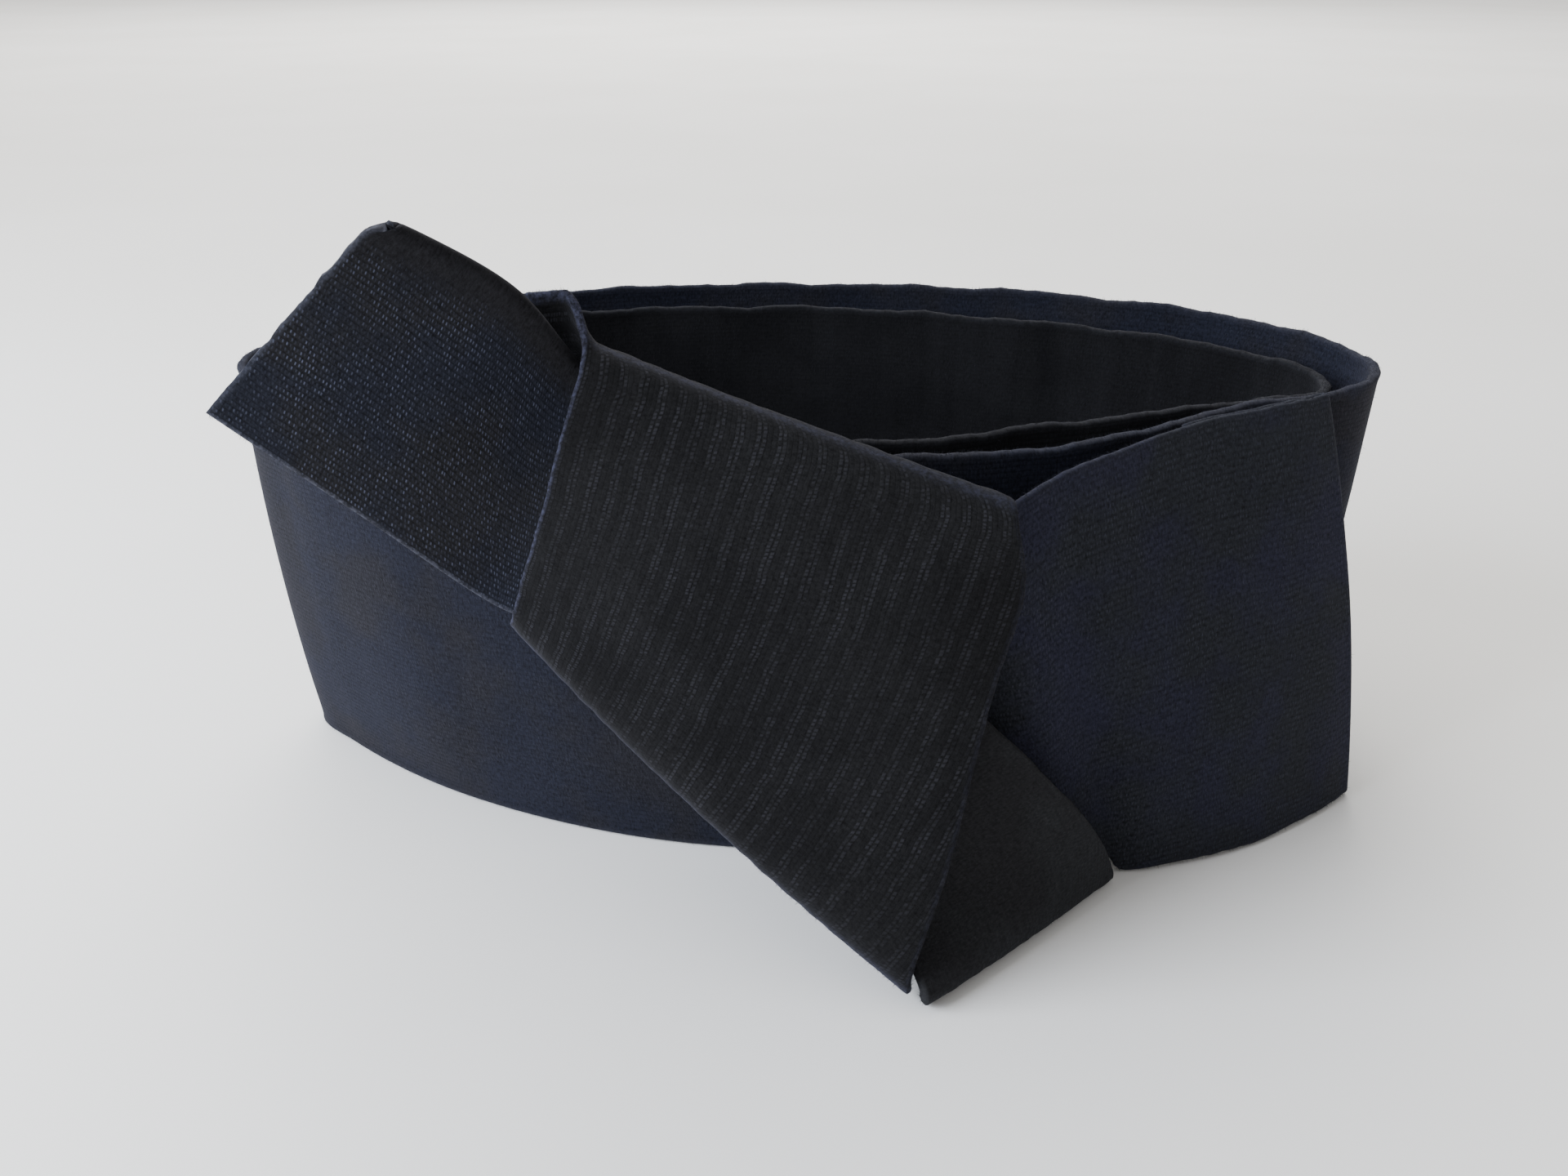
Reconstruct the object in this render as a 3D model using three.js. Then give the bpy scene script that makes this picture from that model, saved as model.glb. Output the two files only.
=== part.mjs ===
// A men's stiff sash belt, wound into an upright ring of two turns and tied with a flat
// knot in front. The ring stands on its lower edge. Millimetres, +Z up, knot facing -Y.
import * as THREE from "three";

// ---- Driving dimensions -------------------------------------------------------------
const CLOTH = 1.6;            // thickness of the woven band
const PRESSED_PAIR = 2.6;     // two layers of the half-width end, pressed into one wall
const LAYER_STEP = 2.1;       // from the middle of one layer of a doubled end to the next
const END_SLIP = 1.4;         // how far the half-width end's second layer slips out
const SHOULDER = 5;           // rounding of the half-width end's upper corner
const FOOT_BULGE = 1.5;       // how far the ring's wall stands out halfway up

const RING_STEPS = 5;         // samples between two rows of a ring
const RING_HEIGHTS = [0, 0.22, 0.5, 0.78, 1];

// One row for each bend of a turn, anticlockwise seen from above: where its lower edge
// stands (footX, footY) and where its upper edge is (rimX, rimY, rimZ).
const OUTER_TURN = [
  { bend: "left end", footX: -119.6, footY: 4, rimX: -122.8, rimY: 5, rimZ: 95 },
  { bend: "left front", footX: -107, footY: -9.5, rimX: -110.5, rimY: -10.5, rimZ: 95 },
  { bend: "front left", footX: -76, footY: -30, rimX: -77, rimY: -28.5, rimZ: 94 },
  { bend: "beside the knot", footX: -34, footY: -45.5, rimX: -35, rimY: -38.5, rimZ: 93 },
  { bend: "behind the knot", footX: 12, footY: -50.5, rimX: 12, rimY: -45, rimZ: 92 },
  { bend: "front right", footX: 58, footY: -46, rimX: 57, rimY: -39, rimZ: 92 },
  { bend: "right front", footX: 98, footY: -26.4, rimX: 97, rimY: -20, rimZ: 93.5 },
  { bend: "right corner", footX: 123, footY: -9, rimX: 127.3, rimY: -8.8, rimZ: 95 },
  { bend: "right end", footX: 128.5, footY: 8, rimX: 133, rimY: 9, rimZ: 95.3 },
  { bend: "back right", footX: 109, footY: 38, rimX: 112, rimY: 42.5, rimZ: 95.3 },
  { bend: "right of back", footX: 62, footY: 61, rimX: 63.5, rimY: 66, rimZ: 95.3 },
  { bend: "back", footX: 5, footY: 70.5, rimX: 5, rimY: 75, rimZ: 95 },
  { bend: "left of back", footX: -55, footY: 64, rimX: -57, rimY: 67.5, rimZ: 95 },
  { bend: "back left", footX: -103, footY: 38, rimX: -106, rimY: 41, rimZ: 95 },
];
const INNER_TURN = [
  { bend: "left end", footX: -115.5, footY: 4, rimX: -118.5, rimY: 5, rimZ: 93 },
  { bend: "left front", footX: -102.5, footY: -5.5, rimX: -105, rimY: -6, rimZ: 93 },
  { bend: "front left", footX: -73, footY: -24.5, rimX: -73, rimY: -21.5, rimZ: 92.5 },
  { bend: "beside the knot", footX: -33, footY: -40.5, rimX: -34, rimY: -31.5, rimZ: 92 },
  { bend: "behind the knot", footX: 12, footY: -45.5, rimX: 13, rimY: -38, rimZ: 92 },
  { bend: "front right", footX: 56, footY: -40, rimX: 54, rimY: -28.5, rimZ: 92 },
  { bend: "right front", footX: 94, footY: -22, rimX: 93, rimY: -15, rimZ: 92 },
  { bend: "right corner", footX: 116, footY: -7, rimX: 118, rimY: -6, rimZ: 91.5 },
  { bend: "right end", footX: 122, footY: 8, rimX: 123, rimY: 8, rimZ: 91 },
  { bend: "back right", footX: 104, footY: 34, rimX: 104, rimY: 33, rimZ: 91 },
  { bend: "right of back", footX: 60, footY: 56, rimX: 60, rimY: 53, rimZ: 91 },
  { bend: "back", footX: 5, footY: 65.5, rimX: 5, rimY: 66, rimZ: 91 },
  { bend: "left of back", footX: -53, footY: 59, rimX: -54, rimY: 61, rimZ: 91 },
  { bend: "back left", footX: -99, footY: 35, rimX: -101, rimY: 37, rimZ: 92 },
];

// The knot's stretches of band. Each row is a line across the band, between a point on one
// edge (from) and a point on the other (to), with the samples on the way to the next row
// (steps). Where a row isn't straight it also has bulge (how far its middle stands out),
// bow (how far its middle runs ahead), curl (how far the "to" edge rolls back) and ear (how
// far the "from" edge stands up).
const RISE = [
  { place: "root", from: [-55, -44, 72], to: [10, -56, 34], steps: 2 },
  { place: "half-way", from: [-54.5, -42.2, 91], to: [20, -56.6, 52], ear: 3, steps: 2 },
  { place: "seam", from: [-48.4, -40.8, 111], to: [30.5, -58.4, 73], ear: 10, steps: 0 },
];
const KNOT_BAND = [
  { place: "seam", from: [-47.4, -40.8, 112.2], to: [31, -58.6, 74.3], ear: 10.2, steps: 2 },
  { place: "behind the crest", from: [-40, -41.2, 113.2], to: [36, -61.5, 88.6], ear: 9.6, steps: 2 },
  { place: "crest", from: [-37.4, -44.8, 114.2], to: [40.4, -67.8, 92], bulge: -0.5, ear: 4, steps: 2 },
  { place: "below the crest", from: [-36.6, -49.4, 112.4], to: [41.2, -71.8, 88.6], curl: 0.8, steps: 3 },
  { place: "upper face", from: [-40.6, -54, 100], to: [42.3, -75.4, 78.5], bulge: 1.2, curl: 2.2, steps: 4 },
  { place: "middle", from: [-45.6, -56.8, 84], to: [36.8, -81.5, 58], bulge: 2, curl: 1.2, steps: 4 },
  { place: "lower face", from: [-50.4, -57.6, 70.3], to: [30.3, -90, 28], bulge: 2.6, curl: 0.6, steps: 3 },
  { place: "above the fold", from: [-52.8, -57.2, 63.4], to: [24, -96.3, 7], bulge: 2.6, steps: 2 },
  { place: "fold", from: [-53.9, -53.6, 60.6], to: [22.2, -93.8, 2], bulge: 1.2, steps: 2 },
  { place: "behind the fold", from: [-51.6, -49.6, 63], to: [25.2, -90.2, 5], bulge: -1.6, steps: 2 },
  { place: "seam", from: [-44.5, -49, 66], to: [29.8, -88.8, 5.7], bulge: -1.2, steps: 0 },
];
const TARE_END = [
  { place: "seam", from: [-43.2, -49, 66.4], to: [31, -88, 5.7], bulge: -1.2, steps: 3 },
  { place: "behind the knot", from: [-8, -54.6, 77], to: [49, -73, 5.3], bulge: -0.5, steps: 3 },
  { place: "leaving the knot", from: [34, -66.4, 86.6], to: [63.4, -60.2, 4.9], steps: 2 },
  { place: "past the lower fold", from: [43, -61.8, 90.4], to: [69.8, -55.6, 4.2], steps: 2 },
  { place: "at the ground", from: [48.6, -57.7, 92], to: [74.8, -57.2, 0.7], bulge: -0.6, steps: 2 },
  { place: "beside the knot", from: [54.7, -53.6, 93.2], to: [81, -57, 0.7], bulge: -1, steps: 3 },
  { place: "middle", from: [80.5, -36.2, 95], to: [104, -49.4, 0.7], bulge: -1.5, bow: 0.6, steps: 3 },
  { place: "near the end", from: [105.5, -23.8, 95.4], to: [125, -37, 0.7], bulge: -1.5, bow: 1.3, steps: 2 },
  { place: "end fold", from: [113.1, -19.4, 95.5], to: [132.8, -31, 0.7], bulge: -1.5, bow: 1.8, steps: 2 },
];
const TARE_DOUBLED_FROM = "middle";

const TE_END = [
  { place: "end", from: [-102.4, -58, 105.9], to: [-66, -57.2, 138.5], steps: 3 },
  { place: "outside", from: [-80, -54.5, 84.5], to: [-47.5, -51, 125], bulge: 0.8, steps: 3 },
  { place: "mouth", from: [-57.4, -51.8, 63.6], to: [-37.8, -46.6, 110.2], steps: 2 },
  { place: "inside", from: [-46, -55.6, 60.4], to: [-24, -52.4, 101.2], steps: 0 },
];
const TE_FOLD = [
  { place: "inside", from: [-45, -56, 59.8], to: [-23, -52.8, 100.4], steps: 3 },
  { place: "behind the band", from: [-28, -65.4, 49], to: [3, -63, 77], steps: 3 },
  { place: "leaving the band", from: [1, -79.8, 28], to: [38, -73.5, 50.3], steps: 3 },
  { place: "triangle", from: [21, -90.3, 11], to: [62.7, -66.6, 19.3], steps: 2 },
  { place: "above the fold", from: [27.3, -96.8, 3.6], to: [70.6, -60, 3.6], bulge: 0.8, steps: 2 },
  { place: "fold", from: [27, -95.2, 1.42], to: [70.6, -58.2, 1.42], steps: 2 },
  { place: "behind the fold", from: [28, -85.2, 4.6], to: [69.6, -49, 4.6], steps: 2 },
  { place: "rising", from: [38, -67.8, 15], to: [76, -46, 14], steps: 2 },
  { place: "root", from: [54, -54.2, 34], to: [86, -41, 32], steps: 0 },
];

// How the samples across a band are spread between its two edges.
const ACROSS = [0, 0.02, 0.04, 0.08, 0.15, 0.28, 0.42, 0.57, 0.72, 0.84, 0.93, 1];
const FRONT_LAYER = [0, 0.25, 0.5, 0.75, 0.9, 0.96, 1];   // the half-width end's first layer
const BACK_LAYER = [1, 0.96, 0.9, 0.72, 0.48, 0.23];      // its second, which stops short
const CURL_STARTS = 0.8;      // share of the width at which the "to" edge begins to roll
const EAR_ENDS = 0.04;        // share of the width over which the "from" edge's ear fades

// ---- Materials ----------------------------------------------------------------------
function cloth(color) {
  return new THREE.MeshStandardMaterial({ color, roughness: 0.92, metalness: 0 });
}

const NAVY = 0x23293b;
const CHARCOAL = 0x2a2a2d;
const SLATE = 0x343a4c;
const BLACK = 0x161619;

// ---- Smooth rows ----------------------------------------------------------------------
function smoothPoints(points, counts, closed) {
  const curve = new THREE.CatmullRomCurve3(points, closed, "centripetal");
  const spans = closed ? points.length : points.length - 1;
  const samples = [];
  for (let span = 0; span < spans; span += 1) {
    for (let step = 0; step < counts[span]; step += 1) {
      samples.push(curve.getPoint((span + step / counts[span]) / spans));
    }
  }
  if (!closed) {
    samples.push(points[points.length - 1].clone());
  }
  return samples;
}

// A table's rows, sampled smoothly, each with the way the band runs there and the way it faces.
function bandRows(table) {
  const counts = table.map((row) => row.steps);
  const smooth = (vector) => smoothPoints(table.map(vector), counts, false);
  const from = smooth((row) => new THREE.Vector3(...row.from));
  const to = smooth((row) => new THREE.Vector3(...row.to));
  const middles = smooth(({ bulge = 0, bow = 0 }) => new THREE.Vector3(bulge, bow, 0));
  const edges = smooth(({ curl = 0, ear = 0 }) => new THREE.Vector3(curl, ear, 0));
  return from.map((start, i) => {
    const before = Math.max(i - 1, 0);
    const after = Math.min(i + 1, from.length - 1);
    const run = from[after].clone().add(to[after]).sub(from[before]).sub(to[before]).normalize();
    const normal = to[i].clone().sub(start).cross(run).normalize();
    return {
      from: start, to: to[i], run, normal,
      bulge: middles[i].x, bow: middles[i].y, curl: edges[i].x, ear: edges[i].y,
    };
  });
}

function pointAcross(row, share) {
  const rolled = Math.max(share - CURL_STARTS, 0) / (1 - CURL_STARTS);
  const raised = Math.max(EAR_ENDS - share, 0) / EAR_ENDS;
  const middle = 4 * share * (1 - share);
  const point = row.from.clone().lerp(row.to, share);
  point.addScaledVector(row.normal, row.curl * rolled * rolled - row.bulge * middle);
  point.addScaledVector(row.run, row.bow * middle);
  point.z += row.ear * raised * raised;
  return point;
}

function bandGrid(table) {
  return bandRows(table).map((row) => ACROSS.map((share) => pointAcross(row, share)));
}

// ---- Walls of cloth -------------------------------------------------------------------
function gridNormals(grid, closedRows) {
  const rowCount = grid.length;
  const clamped = (i) => THREE.MathUtils.clamp(i, 0, rowCount - 1);
  const wrap = (i) => (closedRows ? (i + rowCount) % rowCount : clamped(i));
  return grid.map((row, i) => row.map((point, j) => {
    const along = grid[wrap(i + 1)][j].clone().sub(grid[wrap(i - 1)][j]);
    const across = row[Math.min(j + 1, row.length - 1)].clone().sub(row[Math.max(j - 1, 0)]);
    return along.cross(across).normalize();
  }));
}

function moved(grid, normals, distance) {
  return grid.map((row, i) => row.map((p, j) => p.clone().addScaledVector(normals[i][j], distance)));
}

// One closed body from a face and its opposite face, joined round their edges.
function closedWall(face, opposite, closedRows) {
  const width = face[0].length;
  const count = face.length * width;
  const positions = [...face.flat(), ...opposite.flat()].flatMap((p) => [p.x, p.y, p.z]);
  const index = [];
  const quad = (a, b, c, d) => index.push(a, b, c, a, c, d);
  const spans = closedRows ? face.length : face.length - 1;
  for (let i = 0; i < spans; i += 1) {
    const here = i * width;
    const next = ((i + 1) % face.length) * width;
    for (let j = 0; j < width - 1; j += 1) {
      quad(here + j, next + j, next + j + 1, here + j + 1);
      quad(count + here + j, count + here + j + 1, count + next + j + 1, count + next + j);
    }
    quad(here, count + here, count + next, next);
    quad(here + width - 1, next + width - 1, count + next + width - 1, count + here + width - 1);
  }
  if (!closedRows) {
    const last = (face.length - 1) * width;
    for (let j = 0; j < width - 1; j += 1) {
      quad(j, j + 1, count + j + 1, count + j);
      quad(last + j, count + last + j, count + last + j + 1, last + j + 1);
    }
  }
  const geometry = new THREE.BufferGeometry();
  geometry.setAttribute("position", new THREE.Float32BufferAttribute(positions, 3));
  geometry.setIndex(signedVolume(positions, index) < 0 ? index.toReversed() : index);
  geometry.computeVertexNormals();
  return geometry;
}

function signedVolume(positions, index) {
  const corner = (k) => new THREE.Vector3().fromArray(positions, 3 * index[k]);
  let volume = 0;
  for (let k = 0; k < index.length; k += 3) {
    volume += corner(k).dot(corner(k + 1).cross(corner(k + 2))) / 6;
  }
  return volume;
}

function clothWall(grid, thickness, closedRows = false) {
  const normals = gridNormals(grid, closedRows);
  const face = moved(grid, normals, thickness / 2);
  const opposite = moved(grid, normals, -thickness / 2);
  return closedWall(face, opposite, closedRows);
}

// ---- The ring's two turns --------------------------------------------------------------
function turnGrid(table) {
  const counts = table.map(() => RING_STEPS);
  const smooth = (vector) => smoothPoints(table.map(vector), counts, true);
  const feet = smooth((row) => new THREE.Vector3(row.footX, row.footY, 0));
  const rims = smooth((row) => new THREE.Vector3(row.rimX, row.rimY, row.rimZ));
  return feet.map((foot, i) => RING_HEIGHTS.map((share) => foot.clone().lerp(rims[i], share)));
}

// Level outward directions, so that the wall's lower edge stays flat on the ground.
function levelNormals(grid) {
  const count = grid.length;
  return grid.map((row, i) => row.map((point, j) => {
    const along = grid[(i + 1) % count][j].clone().sub(grid[(i + count - 1) % count][j]);
    return new THREE.Vector3(along.y, -along.x, 0).normalize();
  }));
}

function turnWall(table) {
  const grid = turnGrid(table);
  const outward = levelNormals(grid);
  const bulged = grid.map((row, i) => row.map((point, j) => {
    const share = RING_HEIGHTS[j];
    return point.clone().addScaledVector(outward[i][j], FOOT_BULGE * 4 * share * (1 - share));
  }));
  return closedWall(moved(bulged, outward, CLOTH / 2), moved(bulged, outward, -CLOTH / 2), true);
}

// ---- The ends ---------------------------------------------------------------------------
// The full-width end is doubled: its layer turns at the end fold and comes back behind.
function tareEndWall() {
  const front = bandGrid(TARE_END);
  const normals = gridNormals(front, false);
  const last = front.length - 1;
  const turn = front[last].map((point, j) => {
    const outward = point.clone().sub(front[last - 1][j]).setLength(LAYER_STEP / 2);
    return point.clone().addScaledVector(normals[last][j], LAYER_STEP / 2).add(outward);
  });
  const behind = moved(front, normals, LAYER_STEP).slice(tareDoubledFrom()).reverse();
  return clothWall([...front, turn, ...behind], CLOTH);
}

function tareDoubledFrom() {
  const place = TARE_END.findIndex((row) => row.place === TARE_DOUBLED_FROM);
  return TARE_END.slice(0, place).reduce((sum, row) => sum + row.steps, 0);
}

// The half-width end is folded along its upper edge, so two layers lie face to face.
function teEndWall() {
  const radius = LAYER_STEP / 2;
  const grid = bandRows(TE_END).map((row) => {
    const up = row.to.clone().sub(row.from).normalize();
    const lowered = { ...row, to: row.to.clone().addScaledVector(up, -radius) };
    const layer = (shares, distance) => (
      shares.map((share) => pointAcross(lowered, share).addScaledVector(row.normal, distance))
    );
    const turn = [45, 90, 135].map(THREE.MathUtils.degToRad).map((angle) => (
      lowered.to.clone()
        .addScaledVector(up, radius * Math.sin(angle))
        .addScaledVector(row.normal, -radius * Math.cos(angle))
    ));
    return [...layer(FRONT_LAYER, -radius), ...turn, ...layer(BACK_LAYER, radius)];
  });
  shapeTeEnd(grid);
  return clothWall(grid, CLOTH);
}

// The end row: its second layer slips out past the first, and the upper corner is rounded.
function shapeTeEnd(grid) {
  const [endRow] = bandRows(TE_END);
  const up = endRow.to.clone().sub(endRow.from).normalize();
  const firstOfBack = FRONT_LAYER.length + 3;
  grid[0].forEach((point, j) => {
    const below = endRow.to.clone().sub(point).dot(up);
    const inside = Math.max(SHOULDER - below, 0);
    const drawn = SHOULDER - Math.sqrt(SHOULDER * SHOULDER - inside * inside);
    const slipped = j >= firstOfBack ? END_SLIP : 0;
    point.addScaledVector(endRow.run, drawn - slipped);
  });
}

// ---- Assembly -----------------------------------------------------------------------------
function piece(name, geometry, color) {
  const mesh = new THREE.Mesh(geometry, cloth(color));
  mesh.name = name;
  return mesh;
}

const belt = new THREE.Group();
belt.add(piece("ring_outer_turn", turnWall(OUTER_TURN), SLATE));
belt.add(piece("ring_inner_turn", turnWall(INNER_TURN), BLACK));
belt.add(piece("tare_rise", clothWall(bandGrid(RISE), CLOTH), CHARCOAL));
belt.add(piece("knot_band", clothWall(bandGrid(KNOT_BAND), CLOTH), CHARCOAL));
belt.add(piece("tare_end", tareEndWall(), NAVY));
belt.add(piece("te_fold", clothWall(bandGrid(TE_FOLD), PRESSED_PAIR), BLACK));
belt.add(piece("te_end", teEndWall(), NAVY));

const box = new THREE.Box3().setFromObject(belt);
const centre = box.getCenter(new THREE.Vector3());
belt.position.set(-centre.x, -centre.y, -box.min.z);

export default belt;
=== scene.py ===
import math

import bpy
import numpy as np
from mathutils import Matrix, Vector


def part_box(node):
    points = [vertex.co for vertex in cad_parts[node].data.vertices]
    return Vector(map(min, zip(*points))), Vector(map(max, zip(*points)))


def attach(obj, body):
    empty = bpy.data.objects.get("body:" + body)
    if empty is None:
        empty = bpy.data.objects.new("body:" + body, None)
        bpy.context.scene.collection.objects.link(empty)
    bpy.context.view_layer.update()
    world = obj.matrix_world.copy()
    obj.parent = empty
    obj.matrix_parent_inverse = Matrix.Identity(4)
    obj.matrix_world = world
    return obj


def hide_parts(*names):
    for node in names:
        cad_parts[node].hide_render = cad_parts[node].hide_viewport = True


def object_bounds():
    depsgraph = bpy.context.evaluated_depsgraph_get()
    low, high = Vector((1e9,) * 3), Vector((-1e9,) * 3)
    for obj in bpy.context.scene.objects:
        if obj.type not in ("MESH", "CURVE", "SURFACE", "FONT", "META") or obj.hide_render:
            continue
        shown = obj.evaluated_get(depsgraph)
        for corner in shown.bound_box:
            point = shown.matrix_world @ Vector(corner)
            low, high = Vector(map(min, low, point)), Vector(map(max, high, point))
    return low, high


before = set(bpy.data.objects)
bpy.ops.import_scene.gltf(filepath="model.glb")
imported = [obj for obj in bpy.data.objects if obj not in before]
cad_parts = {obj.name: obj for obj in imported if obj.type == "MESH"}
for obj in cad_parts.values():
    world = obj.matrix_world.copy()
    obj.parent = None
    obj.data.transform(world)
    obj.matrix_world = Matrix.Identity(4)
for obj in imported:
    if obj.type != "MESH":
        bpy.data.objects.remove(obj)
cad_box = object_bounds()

MM = 0.001
CLOTH = 1.6                # thickness of the woven band
TE_CLOTH = 1.8             # the half-width end's layers, which lie close together
PRESSED_PAIR = 2.6         # two layers of the half-width end, pressed into one
LAYER_STEP = 2.1           # from the middle of one layer of a doubled end to the next
END_SHORT = 0.5            # how far the half-width end's second layer stops short
SHOULDER = 5.0             # rounding of the half-width end's upper corner
FOOT_BULGE = 1.5           # how far the ring's wall stands out halfway up
CURL_STARTS = 0.8
EAR_ENDS = 0.04
EDGE_ROUND = 0.55          # how far a rounded edge reaches past the flat of the cloth
BEAD_REACH = 1.3           # how far in from an edge its thickening is felt
RING_BEAD = 0.35           # how much thicker the ring's edges are, as a share of the cloth
FINER = 6                  # the scene's sections for each one of the solids'
HAIR_RADIUS = 0.04
HAIR_SHORTEST = 0.25
HAIR_SPREAD = 0.8          # how much longer than the shortest a hair may be

# One row for each bend of a turn: (foot x, foot y, rim x, rim y, rim z)
OUTER_TURN = [
    (-119.6, 4, -122.8, 5, 95), (-107, -9.5, -110.5, -10.5, 95), (-76, -30, -77, -28.5, 94),
    (-34, -45.5, -35, -38.5, 93), (12, -50.5, 12, -45, 92), (58, -46, 57, -39, 92),
    (98, -26.4, 97, -20, 93.5), (123, -9, 127.3, -8.8, 95), (128.5, 8, 133, 9, 95.3),
    (109, 38, 112, 42.5, 95.3), (62, 61, 63.5, 66, 95.3), (5, 70.5, 5, 75, 95),
    (-55, 64, -57, 67.5, 95), (-103, 38, -106, 41, 95),
]
INNER_TURN = [
    (-115.5, 4, -118.5, 5, 93), (-102.5, -5.5, -105, -6, 93), (-73, -24.5, -73, -21.5, 92.5),
    (-33, -40.5, -34, -31.5, 92), (12, -45.5, 13, -38, 92), (56, -40, 54, -28.5, 92),
    (94, -22, 93, -15, 92), (116, -7, 118, -6, 91.5), (122, 8, 123, 8, 91), (104, 34, 104, 33, 91),
    (60, 56, 60, 53, 91), (5, 65.5, 5, 66, 91), (-53, 59, -54, 61, 91), (-99, 35, -101, 37, 92),
]
# One row for each section of a stretch: (from edge, to edge, bulge, bow, curl, ear, steps)
RISE = [
    ((-55, -44, 72), (10, -56, 34), 0, 0, 0, 0, 2),  # root
    ((-54.5, -42.2, 91), (20, -56.6, 52), 0, 0, 0, 3, 2),  # half-way
    ((-48.4, -40.8, 111), (30.5, -58.4, 73), 0, 0, 0, 10, 0),  # seam
]
KNOT_BAND = [
    ((-47.4, -40.8, 112.2), (31, -58.6, 74.3), 0, 0, 0, 10.2, 2),  # seam
    ((-40, -41.2, 113.2), (36, -61.5, 88.6), 0, 0, 0, 9.6, 2),  # behind the crest
    ((-37.4, -44.8, 114.2), (40.4, -67.8, 92), -0.5, 0, 0, 4, 2),  # crest
    ((-36.6, -49.4, 112.4), (41.2, -71.8, 88.6), 0, 0, 0.8, 0, 3),  # below the crest
    ((-40.6, -54, 100), (42.3, -75.4, 78.5), 1.2, 0, 2.2, 0, 4),  # upper face
    ((-45.6, -56.8, 84), (36.8, -81.5, 58), 2, 0, 1.2, 0, 4),  # middle
    ((-50.4, -57.6, 70.3), (30.3, -90, 28), 2.6, 0, 0.6, 0, 3),  # lower face
    ((-52.8, -57.2, 63.4), (23.9, -96.5, 7.1), 2.6, 0, 0, 0, 2),  # above the fold
    ((-53.9, -53.6, 60.6), (24.1, -94.2, 2), 1.2, 0, 0, 0, 2),  # fold
    ((-51.6, -49.6, 63), (25.1, -90.2, 4.8), -1.6, 0, 0, 0, 2),  # behind the fold
    ((-44.5, -49, 66), (29.8, -88.8, 5.7), -1.2, 0, 0, 0, 0),  # seam
]
TARE_END = [
    ((-43.2, -49, 66.4), (31, -88, 5.7), -1.2, 0, 0, 0, 3),  # seam
    ((-8, -54.6, 77), (49, -73, 5.3), -0.5, 0, 0, 0, 3),  # behind the knot
    ((34, -66.4, 86.6), (63.4, -61, 4.9), 0, 0, 0, 0, 2),  # leaving the knot
    ((43, -61.8, 90.4), (69.8, -57.8, 4.2), 0, 0, 0, 0, 2),  # past the lower fold
    ((48.6, -57.7, 92), (73, -57.4, 0.7), -0.6, 0, 0, 0, 2),  # at the ground
    ((54.7, -53.6, 93.2), (80, -57, 0.7), -1, 0, 0, 0, 3),  # beside the knot
    ((80.5, -36.2, 95), (104, -49.4, 0.7), -1.5, 0.6, 0, 0, 3),  # middle
    ((105.5, -23.8, 95.4), (125, -37, 0.7), -1.5, 1.3, 0, 0, 2),  # near the end
    ((113.1, -19.4, 95.5), (132.8, -31, 0.7), -1.5, 1.8, 0, 0, 2),  # end fold
]
TARE_DOUBLED_FROM = 6      # the row from which the full-width end is doubled
TE_END = [
    ((-102.4, -58, 105.9), (-67.4, -57.7, 139.5), 0, 0, 0, 0, 3),  # end
    ((-80, -54.5, 84.5), (-47.5, -51, 125), 0.8, 0, 0, 0, 3),  # outside
    ((-57.4, -51.8, 63.6), (-37.8, -46.6, 110.2), 0, 0, 0, 0, 2),  # mouth
    ((-46, -55.6, 60.4), (-24, -52.4, 101.2), 0, 0, 0, 0, 0),  # inside
]
TE_FOLD = [
    ((-45, -56, 59.8), (-23, -52.8, 100.4), 0, 0, 0, 0, 3),  # inside
    ((-28, -65.4, 49), (3, -63, 77), 0, 0, 0, 0, 3),  # behind the band
    ((1, -79.8, 28), (38, -73.5, 50.3), 0, 0, 0, 0, 3),  # leaving the band
    ((21.3, -90.5, 11), (62.7, -66.6, 19.3), 0, 0, 0, 0, 2),  # triangle
    ((26.3, -97.4, 3.6), (69.8, -61.5, 3.6), 0.8, 0, 0, 0, 2),  # above the fold
    ((26.1, -95.8, 1.42), (70.4, -59.9, 1.42), 0, 0, 0, 0, 2),  # fold
    ((28, -85.2, 4.6), (69.6, -49.4, 4.6), 0, 0, 0, 0, 2),  # behind the fold
    ((38, -67.8, 15), (76, -46, 14), 0, 0, 0, 0, 2),  # rising
    ((54, -54.2, 34), (86, -41, 32), 0, 0, 0, 0, 0),  # root
]


# ---- Smooth rows --------------------------------------------------------------------------
def smooth(points, counts, closed=False):
    """A centripetal Catmull-Rom line through the points, with counts samples on each span."""
    points = np.asarray(points, float)
    n = len(points)
    out = []
    for span in range(n if closed else n - 1):
        p1, p2 = points[span], points[(span + 1) % n]
        p0 = points[span - 1] if closed or span > 0 else 2 * p1 - p2
        p3 = points[(span + 2) % n] if closed or span + 2 < n else 2 * p2 - p1
        d0, d1, d2 = (float(np.sum((b - a) ** 2)) ** 0.25 for a, b in ((p0, p1), (p1, p2), (p2, p3)))
        d1 = d1 if d1 > 1e-4 else 1.0
        d0 = d0 if d0 > 1e-4 else d1
        d2 = d2 if d2 > 1e-4 else d1
        m1 = ((p1 - p0) / d0 - (p2 - p0) / (d0 + d1) + (p2 - p1) / d1) * d1
        m2 = ((p2 - p1) / d1 - (p3 - p1) / (d1 + d2) + (p3 - p2) / d2) * d1
        for step in range(counts[span]):
            t = step / counts[span]
            cubic = (2 * p1 - 2 * p2 + m1 + m2) * t ** 3
            square = (-3 * p1 + 3 * p2 - 2 * m1 - m2) * t ** 2
            out.append(p1 + m1 * t + square + cubic)
    if not closed:
        out.append(points[-1])
    return np.array(out)


def unit(v):
    return v / np.maximum(np.linalg.norm(v, axis=-1, keepdims=True), 1e-12)


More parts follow.
